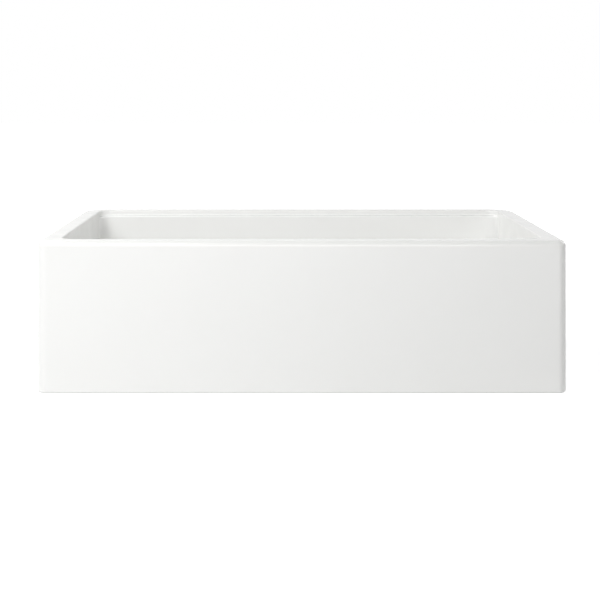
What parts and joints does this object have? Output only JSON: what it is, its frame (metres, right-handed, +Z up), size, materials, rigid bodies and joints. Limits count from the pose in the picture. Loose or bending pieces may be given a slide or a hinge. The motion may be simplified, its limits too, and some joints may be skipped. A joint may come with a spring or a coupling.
{
  "type": "farmhouse apron front sink",
  "caption": "White glazed fireclay farmhouse sink with a tall flat apron, step ledges inside the rim, a hollow foot and a basket strainer with a push-down stopper.",
  "frame": {"origin": "on the ground under the middle of the sink, at the centre of the foot's outline", "axes": "+X to the right along the apron, +Y from the apron to the back, +Z up; the apron faces -Y and the drain is on the Z axis"},
  "size_m": [0.8998, 0.4798, 0.26],
  "materials": {
    "fireclay_glaze": "white gloss glaze, bare bisque under the foot",
    "polished_steel": "polished stainless steel",
    "brushed_steel": "satin stainless steel",
    "spring_steel": "satin spring steel",
    "chromed_nut": "bright plated nut",
    "cast_zinc": "dull cast metal",
    "black_rubber": "matte moulded rubber",
    "fibre": "pressed fibre",
    "seal_foam": "pale closed-cell sealing ring",
    "nylon": "translucent white washer"
  },
  "bodies": {
    "sink": {"sink_body": "fireclay_glaze", "flange_seal": "seal_foam", "strainer_body": "polished_steel", "outlet_cross": "polished_steel", "under_gasket": "black_rubber", "friction_ring": "fibre", "locknut": "cast_zinc", "tailpiece_washer": "nylon", "coupling_nut": "chromed_nut"},
    "lift_out_basket": {"basket": "brushed_steel", "detent_clip": "spring_steel"},
    "stopper": {"stopper_stem": "polished_steel", "stopper_knob": "polished_steel", "stopper_washer": "brushed_steel", "stopper_seal": "black_rubber", "stopper_nut": "polished_steel"}
  },
  "joints": [
    {"name": "basket_lift", "type": "slide", "parent": "sink", "child": "lift_out_basket", "axis": [0, 0, 1], "range_m": [0, 0.26]},
    {"name": "stopper_slide", "type": "slide", "parent": "lift_out_basket", "child": "stopper", "axis": [0, 0, -1], "range_m": [0, 0.006]}
  ]
}
